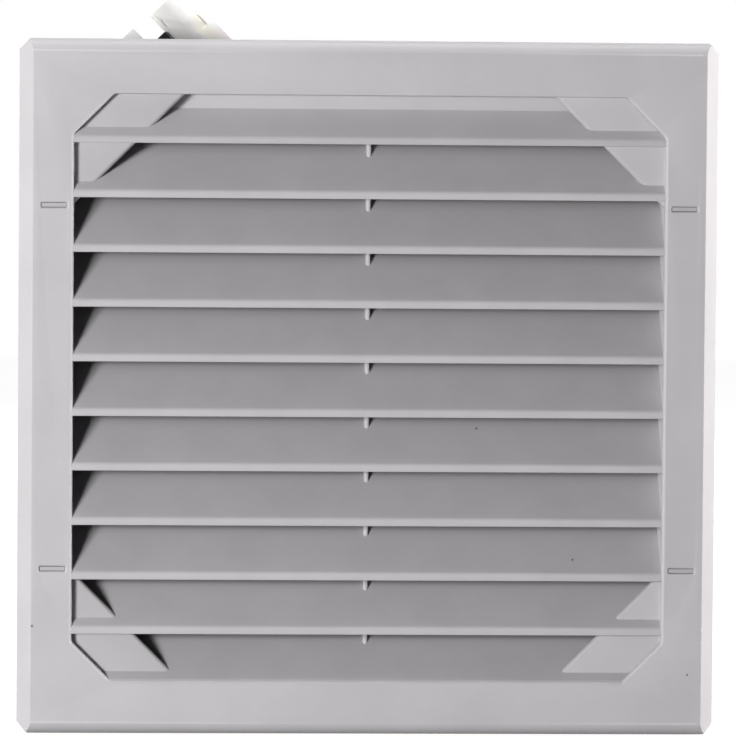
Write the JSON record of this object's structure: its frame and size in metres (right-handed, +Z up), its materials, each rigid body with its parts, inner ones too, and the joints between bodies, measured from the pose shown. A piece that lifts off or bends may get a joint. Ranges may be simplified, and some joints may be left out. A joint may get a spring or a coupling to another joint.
{
  "type": "louvred filter fan",
  "caption": "Louvred filter fan for a cabinet wall: snap-off louvred cover, filter mat, mounting frame with spring clips, and an external-rotor axial fan with a guard.",
  "frame": {"origin": "centre of the panel plane, where the back of the frame's flange meets the cabinet wall", "axes": "+Z up as hung on a wall, +Y through the panel into the cabinet along the fan's axis, -Y out to the louvred front, +X to the right seen from the front"},
  "size_m": [0.255, 0.1093, 0.2709],
  "materials": {
    "grey_plastic": "fine-grained light grey moulded plastic",
    "filter_fleece": "white fibrous filter fleece",
    "frame_plastic": "light grey moulded plastic",
    "seal_foam": "closed-cell foam",
    "spring_steel": "bright rolled spring steel",
    "rivet_steel": "plain steel",
    "black_diecast": "satin black paint on die casting",
    "zinc_steel": "zinc-plated steel",
    "guard_wire": "bright plated wire",
    "core_steel": "stacked electrical steel",
    "copper_winding": "lacquered copper wire",
    "bearing_steel": "ground steel",
    "black_plastic": "satin black moulded plastic",
    "rotor_steel": "black-painted pressed steel",
    "bracket_steel": "zinc-plated sheet steel",
    "white_nylon": "natural white nylon, slightly translucent",
    "contact_brass": "brass contact",
    "lead_sleeve": "black flexible sleeve",
    "lead_rubber": "black rubber"
  },
  "bodies": {
    "root": {"mounting_frame": "frame_plastic", "panel_gasket": "seal_foam", "spring_clip_top": "spring_steel", "spring_clip_bottom": "spring_steel", "spring_clip_left": "spring_steel", "spring_clip_right": "spring_steel", "clip_rivets": "rivet_steel", "fan_housing": "black_diecast", "fan_bolts": "zinc_steel", "bolt_washers": "zinc_steel", "fan_nuts": "zinc_steel", "finger_guard": "guard_wire", "stator_core": "core_steel", "stator_windings": "copper_winding", "front_bearing": "bearing_steel", "rear_bearing": "bearing_steel", "motor_cover": "black_plastic", "preload_washer": "spring_steel", "terminal_bracket": "bracket_steel", "bracket_screws": "zinc_steel", "connector_clip": "black_plastic", "connector_socket": "white_nylon", "contact_pins": "contact_brass", "lead": "lead_sleeve", "lead_grommet": "lead_rubber"},
    "grille": {"louvre_grille": "grey_plastic"},
    "filter": {"filter_mat": "filter_fleece"},
    "rotor": {"rotor_cup": "rotor_steel", "rotor_ring": "core_steel", "shaft": "bearing_steel", "retaining_clip": "rivet_steel", "impeller": "black_plastic"},
    "plug": {"connector_plug": "white_nylon"}
  },
  "joints": [
    {"name": "impeller_spin", "type": "hinge", "parent": "root", "child": "rotor", "pos_m": [0, 0.055, 0], "axis": [0, 1, 0], "continuous": true},
    {"name": "grille_lift", "type": "slide", "parent": "root", "child": "grille", "axis": [0, -1, 0], "range_m": [0, 0.12]},
    {"name": "filter_lift", "type": "slide", "parent": "root", "child": "filter", "axis": [0, -1, 0], "range_m": [0, 0.06]},
    {"name": "plug_pull", "type": "slide", "parent": "root", "child": "plug", "axis": [-0.6884, 0, 0.7254], "range_m": [0, 0.025]}
  ],
  "couplings": [
    {"joint": "filter_lift", "follows": "grille_lift", "ratio": 0.5}
  ]
}
